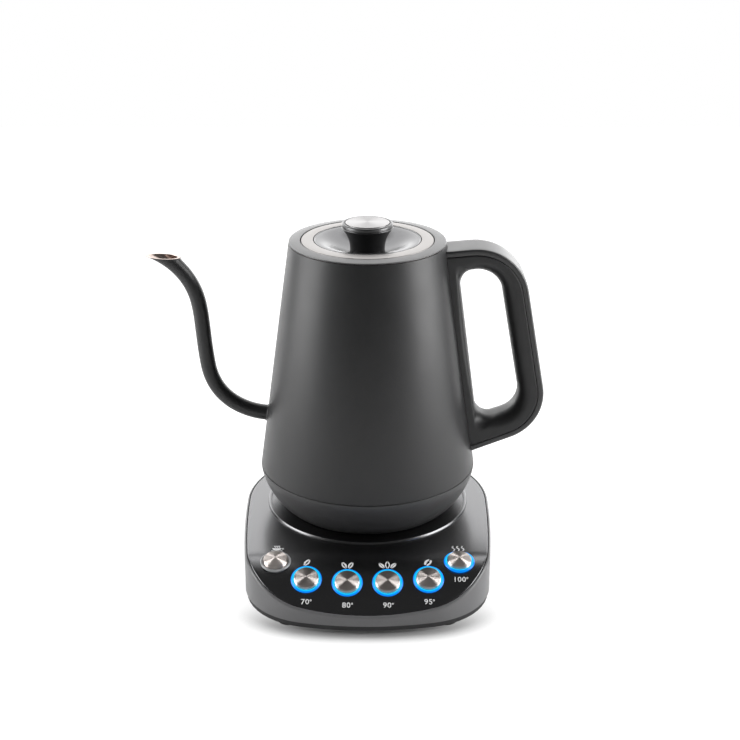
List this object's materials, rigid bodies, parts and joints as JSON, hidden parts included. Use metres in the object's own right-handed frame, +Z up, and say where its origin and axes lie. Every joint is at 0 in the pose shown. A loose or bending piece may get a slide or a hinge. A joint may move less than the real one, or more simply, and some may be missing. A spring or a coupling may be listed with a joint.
{
  "type": "gooseneck kettle",
  "caption": "Electric gooseneck kettle with a thin curved pouring spout, closed loop handle and lift-off lid, seated on a cordless power base with a sloping row of ringed push buttons.",
  "frame": {"origin": "on the axis that the kettle and its base share, at the level of the floor, at the centre of the rear foot ring's underside", "axes": "+X towards the handle, with the spout at -X; +Y to the back, with the buttons at the front, -Y; +Z up"},
  "size_m": [0.2463, 0.1994, 0.2188],
  "materials": {
    "black_coat": "satin powder coat",
    "collar_coat": "satin coat",
    "housing_plastic": "satin moulded",
    "handle_plastic": "satin moulded",
    "knob_plastic": "satin moulded",
    "dish_coat": "satin",
    "panel_plastic": "fine satin gloss",
    "shell_plastic": "satin moulded",
    "pan_plastic": "matte moulded",
    "turret_plastic": "polished",
    "lid_steel": "brushed",
    "cap_steel": "spun",
    "plain_steel": "plain",
    "spun_aluminium": "spun",
    "aluminium_plate": "cast",
    "light_blue": "translucent, lit",
    "ring_white": "translucent, unlit",
    "rubber_black": "matte",
    "silicone": "matte",
    "contact_brass": "plain",
    "circuit_board": "solder mask",
    "electronics_dark": "moulded",
    "relay_blue": "moulded",
    "transformer_yellow": "taped winding",
    "wire_jacket": "insulation"
  },
  "bodies": {
    "base": {"base_pan": "pan_plastic", "base_shell": "shell_plastic", "base_top": "panel_plastic", "seat_plate": "panel_plastic", "rubber_feet": "rubber_black", "base_screws": "plain_steel", "cord_gland": "rubber_black", "turret_housing": "turret_plastic", "turret_wires": "wire_jacket", "power_board": "circuit_board", "board_relay": "relay_blue", "board_transformer": "transformer_yellow", "board_capacitors": "electronics_dark", "buzzer": "electronics_dark", "ribbon_cable": "silicone", "control_boards": "circuit_board", "tact_switches": "plain_steel", "ring_leds": "ring_white", "light_rings": "light_blue", "warm_ring": "ring_white"},
    "turret": {"turret_cap": "turret_plastic", "turret_contacts": "contact_brass", "turret_clip": "plain_steel"},
    "kettle": {"vessel": "black_coat", "vessel_floor": "plain_steel", "top_collar": "collar_coat", "bottom_housing": "housing_plastic", "seam_gasket": "rubber_black", "heat_spreader": "aluminium_plate", "heating_element": "plain_steel", "thermostats": "plain_steel", "temperature_probe": "plain_steel", "probe_seal": "silicone", "socket_housing": "turret_plastic", "socket_contacts": "contact_brass", "housing_screws": "plain_steel", "spout_tube": "black_coat", "handle_body": "handle_plastic", "handle_cover": "handle_plastic", "handle_brackets": "plain_steel", "handle_screws": "plain_steel"},
    "lid": {"lid_ring": "lid_steel", "lid_dish": "dish_coat", "lid_plug": "knob_plastic", "lid_gasket": "silicone", "knob": "knob_plastic", "knob_inlay": "spun_aluminium", "knob_screw": "plain_steel"},
    "button_1": {"button_1_cap": "cap_steel", "button_1_stem": "electronics_dark"},
    "button_2": {"button_2_cap": "cap_steel", "button_2_stem": "electronics_dark"},
    "button_3": {"button_3_cap": "cap_steel", "button_3_stem": "electronics_dark"},
    "button_4": {"button_4_cap": "cap_steel", "button_4_stem": "electronics_dark"},
    "button_5": {"button_5_cap": "cap_steel", "button_5_stem": "electronics_dark"},
    "button_6": {"button_6_cap": "cap_steel", "button_6_stem": "electronics_dark"}
  },
  "joints": [
    {"name": "kettle_swivel", "type": "hinge", "parent": "base", "child": "turret", "pos_m": [0, 0, 0.0546], "axis": [0, 0, 1], "continuous": true},
    {"name": "kettle_lift", "type": "slide", "parent": "turret", "child": "kettle", "axis": [0, 0, 1], "range_m": [0, 0.0716]},
    {"name": "lid_lift", "type": "slide", "parent": "kettle", "child": "lid", "axis": [0, 0, 1], "range_m": [0, 0.05]},
    {"name": "button_1_press", "type": "slide", "parent": "base", "child": "button_1", "axis": [0, 0.22, -0.9755], "range_m": [0, 0.0008], "stiffness_N_per_m": 250, "springref_m": -0.004},
    {"name": "button_2_press", "type": "slide", "parent": "base", "child": "button_2", "axis": [0, 0.48, -0.8773], "range_m": [0, 0.0008], "stiffness_N_per_m": 250, "springref_m": -0.004},
    {"name": "button_3_press", "type": "slide", "parent": "base", "child": "button_3", "axis": [0, 0.5, -0.866], "range_m": [0, 0.0008], "stiffness_N_per_m": 250, "springref_m": -0.004},
    {"name": "button_4_press", "type": "slide", "parent": "base", "child": "button_4", "axis": [0, 0.5, -0.866], "range_m": [0, 0.0008], "stiffness_N_per_m": 250, "springref_m": -0.004},
    {"name": "button_5_press", "type": "slide", "parent": "base", "child": "button_5", "axis": [0, 0.48, -0.8773], "range_m": [0, 0.0008], "stiffness_N_per_m": 250, "springref_m": -0.004},
    {"name": "button_6_press", "type": "slide", "parent": "base", "child": "button_6", "axis": [0, 0.22, -0.9755], "range_m": [0, 0.0008], "stiffness_N_per_m": 250, "springref_m": -0.004}
  ]
}
